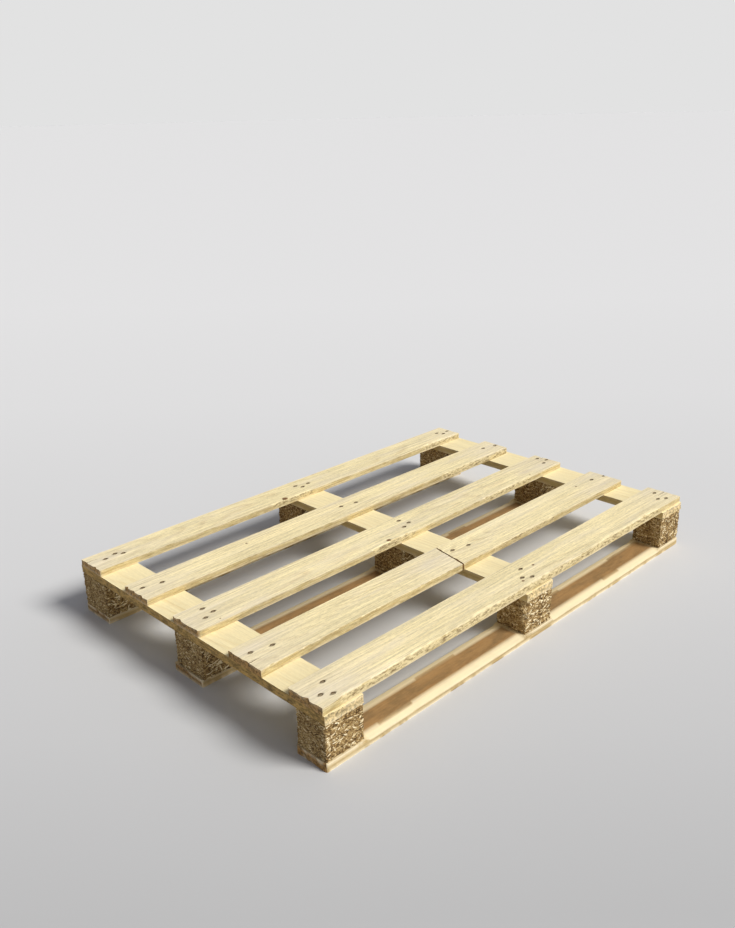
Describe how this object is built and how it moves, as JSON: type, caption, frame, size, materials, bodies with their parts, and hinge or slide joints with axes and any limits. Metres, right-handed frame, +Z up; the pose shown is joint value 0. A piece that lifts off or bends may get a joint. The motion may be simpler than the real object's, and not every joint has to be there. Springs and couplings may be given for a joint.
{
  "type": "wooden pallet",
  "caption": "Wooden pallet: spaced deck boards on cross boards, pressed wood-chip blocks and chamfered bottom boards, open to forks from every side.",
  "frame": {"origin": "on the floor under the middle of the pallet's outline", "axes": "+X along the deck boards, +Y across them, +Z up"},
  "size_m": [1.2, 0.8, 0.127],
  "materials": {
    "deck_wood": "rough sawn softwood, weathered grey-cream",
    "stringer_wood": "sawn softwood, fresh and yellow",
    "bottom_wood": "rough sawn softwood, brown on top with pale chamfers",
    "chip_block": "pressed wood chips, coarse and matt",
    "nail_steel": "dull bright steel, a little tarnished"
  },
  "bodies": {
    "root": {"block_far_centre": "chip_block", "block_far_left": "chip_block", "block_far_right": "chip_block", "block_middle_centre": "chip_block", "block_middle_left": "chip_block", "block_middle_right": "chip_block", "block_near_centre": "chip_block", "block_near_left": "chip_block", "block_near_right": "chip_block", "bottom_board_centre": "bottom_wood", "bottom_board_left": "bottom_wood", "bottom_board_right": "bottom_wood", "deck_board_1": "deck_wood", "deck_board_2": "deck_wood", "deck_board_3": "deck_wood", "deck_board_4_far": "deck_wood", "deck_board_4_near": "deck_wood", "deck_board_5": "deck_wood", "nail_far_1_a": "nail_steel", "nail_far_1_b": "nail_steel", "nail_far_1_c": "nail_steel", "nail_far_2_a": "nail_steel", "nail_far_2_b": "nail_steel", "nail_far_3_a": "nail_steel", "nail_far_3_b": "nail_steel", "nail_far_3_c": "nail_steel", "nail_far_4_a": "nail_steel", "nail_far_4_b": "nail_steel", "nail_far_5_a": "nail_steel", "nail_far_5_b": "nail_steel", "nail_far_5_c": "nail_steel", "nail_middle_1_a": "nail_steel", "nail_middle_1_b": "nail_steel", "nail_middle_1_c": "nail_steel", "nail_middle_2_a": "nail_steel", "nail_middle_2_b": "nail_steel", "nail_middle_3_a": "nail_steel", "nail_middle_3_b": "nail_steel", "nail_middle_3_c": "nail_steel", "nail_middle_4_a": "nail_steel", "nail_middle_4_b": "nail_steel", "nail_middle_5_a": "nail_steel", "nail_middle_5_b": "nail_steel", "nail_middle_5_c": "nail_steel", "nail_near_1_a": "nail_steel", "nail_near_1_b": "nail_steel", "nail_near_1_c": "nail_steel", "nail_near_2_a": "nail_steel", "nail_near_2_b": "nail_steel", "nail_near_3_a": "nail_steel", "nail_near_3_b": "nail_steel", "nail_near_3_c": "nail_steel", "nail_near_4_a": "nail_steel", "nail_near_4_b": "nail_steel", "nail_near_5_a": "nail_steel", "nail_near_5_b": "nail_steel", "nail_near_5_c": "nail_steel", "stringer_board_far": "stringer_wood", "stringer_board_middle": "stringer_wood", "stringer_board_near": "stringer_wood"}
  },
  "joints": []
}
